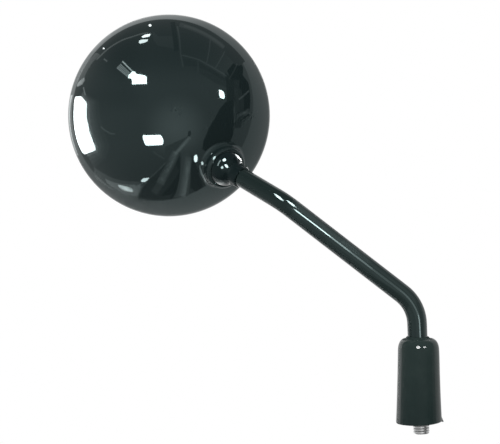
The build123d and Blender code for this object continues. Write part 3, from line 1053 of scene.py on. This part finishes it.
stemLights = {
    "upperLens": (46, (
        (273.9, 193.4), (276.6, 194.5), (280.2, 197), (284, 201.2), (280.4, 199.6), (276.8, 197.1),
    )),
    "lowerLens": (46, (
        (286, 199.8), (290.4, 202), (294.4, 205.1), (297, 207.8), (293.5, 206.4), (289.8, 203.7),
    )),
    "strip": (42, ribbon(1.1, (295, 209.8), (312, 222.6), (330, 236.4))),
    "middleStrip": (11, ribbon(1.4, (330, 236.4), (350, 251.8))),
    "lowerStrip": (4.4, ribbon(1.6, (350, 251.8), (372, 268.7))),
    "lastStrip": (1.5, ribbon(2, (372, 268.7), (400, 290.1))),
    "upperSheen": (0.35, ribbon(7.4, (293, 202.6), (326, 229), (364, 258.4))),
    "secondUpperSheen": (0.35, ribbon(5.2, (295, 204.6), (326, 229.2), (356, 252.4))),
    "thirdUpperSheen": (0.4, ribbon(3.2, (297, 206.4), (326, 229.4), (346, 244.8))),
    "upperFill": (0.28, ribbon(
        6, (340, 239.6), (361.2, 255.7), (383, 272), (404, 288.2), (413.6, 298.8), (421.8, 314.2),
        (424, 334),
    )),
    "secondUpperFill": (0.24, ribbon(
        3.6, (346, 244.2), (361.2, 255.7), (383, 272), (404, 288.2), (413.6, 298.8), (421.8, 314.2),
        (424, 334),
    )),
    "lowerFill": (0.25, ribbon(5, (292, 213.8), (327, 240.4), (369, 272.7), (397, 294.1), (409, 307))),
    "bendStrip": (2.4, ribbon(1.6, (400, 290.1), (408, 297.4), (413.6, 305), (418.2, 315))),
    "endSheen": (4, ribbon(1.4, (248.6, 171.4), (252, 173.6))),
    "postStrip": (9, ribbon(1.1, (418.2, 315), (419.8, 325), (420.3, 335.5))),
}
bootLights = {
    "firstSpot": (220, (
        (416.2, 347.5), (416.9, 346.4), (418.2, 346), (419.6, 346.1), (420.5, 347.2), (419.9, 348.4),
        (418.5, 348.8), (417, 348.6),
    )),
    "secondSpot": (200, (
        (423.1, 347.3), (423.7, 346.5), (424.6, 346.2), (425.5, 346.5), (426, 347.3), (425.5, 348),
        (424.6, 348.3), (423.7, 348),
    )),
}


def cardFinish(name, strength, clear):
    # a light adds to what is behind it, and a flag hides it
    finish = newFinish(name)
    glow = finish.add("ShaderNodeEmission", None, {"Color": (1.0, 1.0, 1.0), "Strength": strength})
    if clear:
        through = finish.add("ShaderNodeBsdfTransparent")
        glow = finish.add("ShaderNodeAddShader", None, {0: glow, 1: through})
    finish.add("ShaderNodeOutputMaterial", None, {"Surface": glow})
    return finish.owner


def onlyOn(piece):
    group = bpy.data.collections.new(piece.name + "Only")
    group.objects.link(piece)
    group.collection_objects[0].light_linking.link_state = "INCLUDE"
    return group


# How far from the part the cards hang, in metres
cardReach = {
    "shellFlags": 1.1,
    "shellLights": 1.0,
    "jointLights": 0.5,
    "stemLights": 0.12,
    "bootLights": 0.4,
    "step": 0.004,  # from card to card, as a share
}


def hangCards(cards, bounce, reach, litPiece=None):
    # later cards hang nearer, so that they lie over earlier ones
    group = onlyOn(litPiece) if litPiece else None
    for index, (name, (strength, outline)) in enumerate(cards.items()):
        bpy.ops.object.select_all(action="DESELECT")
        bpy.ops.mesh.primitive_circle_add(vertices=len(outline), fill_type="NGON", location=(0, 0, 0))
        card = bpy.context.object
        card.name = name
        for vertex, pixel in zip(card.data.vertices, outline):
            vertex.co = bounce(pixel, reach * (1 - index * cardReach["step"]))
        dress(card, cardFinish(name, strength, group is not None))
        card.visible_camera = False
        card.visible_diffuse = False
        card.visible_shadow = False
        if group is not None:
            card.light_linking.receiver_collection = group
    print("studio cards", len(cards))


# Floor: a pale round sheet well below the stud that fades into the white room
floorLook = {
    "drop": 0.10,  # below the frame's origin
    "middle": (-0.085, 0.016),
    "radius": 0.36,
    "segments": 96,
    "fadeBand": (0.20, 0.3528),
    "pale": (0.93, 0.93, 0.93),
    "grainSize": 2 * mm,
    "grainDepth": 0.02 * mm,
}


def layFloor():
    look = floorLook
    bpy.ops.object.select_all(action="DESELECT")
    bpy.ops.mesh.primitive_circle_add(
        vertices=look["segments"],
        radius=look["radius"],
        fill_type="NGON",
        location=(*look["middle"], -look["drop"]),
    )
    floor = bpy.context.object
    floor.name = "studioFloor"
    floor.visible_glossy = False
    finish = newFinish("paleFloor")
    place = finish.place()
    reach = finish.add("ShaderNodeVectorMath", {"operation": "LENGTH"}, {0: place}, "Value")
    grain = finish.bump(finish.noise(place, look["grainSize"]), look["grainDepth"])
    paint = finish.add("ShaderNodeBsdfDiffuse", None, {"Color": look["pale"], "Normal": grain})
    clear = finish.add("ShaderNodeBsdfTransparent")
    fade = reach.smooth(*look["fadeBand"])
    mixed = finish.add("ShaderNodeMixShader", None, {0: fade, 1: paint, 2: clear})
    finish.add("ShaderNodeOutputMaterial", None, {"Surface": mixed})
    dress(floor, finish.owner)
    print("floor laid")


# Soft lamps, which light without showing as reflections
lampAim = Vector((-0.09, 0.02, 0.08))
lamps = {
    "keyLamp": {"place": (-0.75, -0.85, 1.05), "size": 0.9, "power": 16},
    "fillLamp": {"place": (0.85, -0.55, 0.75), "size": 0.9, "power": 6},
}


def hangLamps():
    for name, lamp in lamps.items():
        bpy.ops.object.light_add(type="AREA", location=lamp["place"])
        light = bpy.context.object
        light.name = name
        light.rotation_euler = (lampAim - light.location).to_track_quat("-Z", "Y").to_euler()
        light.data.size = lamp["size"]
        light.data.energy = lamp["power"]
        light.visible_camera = False
        light.visible_glossy = False


# Room: white for the camera, and for reflections white behind the mirror and dimmer in front of it
roomLook = {
    "fill": 0.55,
    "level": 0.505,
    "leftGain": 0.045,
    "upperLoss": 0.53,
    "upperBand": (0.45, 0.97),
    "upperLeftLoss": 0.26,
    "upperLeftBand": (0.0, 0.35),
    "leftBand": (-0.2, -0.7),
    "lowerLoss": 0.25,
    "lowerBand": (-0.4, -0.95),
    "glow": 0.62,  # round the camera
    "glowAim": Vector((0.125, -0.968, -0.217)).normalized(),
    "glowEdge": 0.80,
    "backdrop": 0.98,
    "backdropEdge": 0.26,  # where the backdrop begins, further back at the upper left
    "edgeLean": 0.31,
    "edgeBow": -0.07,
    "edgeBand": (0.0, 0.03),
    "cornerGain": 0.5,
    "cornerBand": (0.4, 0.75),
    "rightEndLoss": 0.20,
    "rightBand": (0.3, 0.9),
    "evenBand": (0.1, 0.5),  # the backdrop is even straight behind the mirror
    "leastGirth": 0.05,
}


def setRoom():
    look = roomLook
    room = bpy.data.worlds.new("studioRoom")
    bpy.context.scene.world = room
    finish = Finish(room)
    aim = finish.add("ShaderNodeTexCoord", out="Generated")
    across = finish.add("ShaderNodeSeparateXYZ", None, {"Vector": aim}, "X")
    back = across.other("Y")
    up = across.other("Z")
    girth = (1 - back * back).math("SQRT").math("MAXIMUM", look["leastGirth"])
    wide = girth.smooth(*look["evenBand"]) / girth
    corner = (up - across) * math.sqrt(0.5) * wide
    dot = {0: aim, 1: look["glowAim"]}
    towards = finish.add("ShaderNodeVectorMath", {"operation": "DOT_PRODUCT"}, dot, "Value")
    near = ((towards - look["glowEdge"]) / (1 - look["glowEdge"])).math("MAXIMUM", 0.0)
    upper = up.smooth(*look["upperBand"]) * look["upperLoss"]
    lower = up.smooth(*look["lowerBand"]) * look["lowerLoss"]
    upperLeft = up.smooth(*look["upperLeftBand"]) * across.smooth(*look["leftBand"]) * look["upperLeftLoss"]
    left = look["level"] - across * look["leftGain"]
    dim = left * (1 - upper - lower - upperLeft) + near * near * look["glow"]
    backEdge = look["backdropEdge"] + corner * look["edgeLean"] + corner * corner * look["edgeBow"]
    behind = (back - backEdge).smooth(*look["edgeBand"])
    gain = 1 + corner.smooth(*look["cornerBand"]) * look["cornerGain"]
    loss = (across * wide).smooth(*look["rightBand"]) * look["rightEndLoss"]
    tone = dim * (1 - behind) + behind * (gain - loss) * look["backdrop"]
    camera = finish.add("ShaderNodeLightPath", out="Is Camera Ray")
    seen = camera.other("Is Glossy Ray").math("MAXIMUM", camera.other("Is Transmission Ray"))
    strength = camera + (1 - camera) * (seen * tone + (1 - seen) * look["fill"])
    sky = finish.add("ShaderNodeBackground", None, {"Color": (1.0, 1.0, 1.0), "Strength": strength})
    finish.add("ShaderNodeOutputWorld", None, {"Surface": sky})


setCamera()
hangCards(shellFlags, offDome, cardReach["shellFlags"])
hangCards(shellLights, offDome, cardReach["shellLights"], shell["shell_moulding"])
for lights, piece, reach in (
    (turretLights, shell["shell_turret"], "jointLights"),
    (lipLights, shell["shell_lip"], "jointLights"),
    (ballLights, ball["ball_knob"], "jointLights"),
    (neckLights, ball["ball_neck"], "jointLights"),
    (stemLights, stemPiece, "stemLights"),
    (bootLights, bootPiece, "bootLights"),
):
    hangCards(lights, offPiece(piece), cardReach[reach], piece)
layFloor()
hangLamps()
setRoom()
bpy.context.scene.view_settings.view_transform = "Standard"
print("studio set")
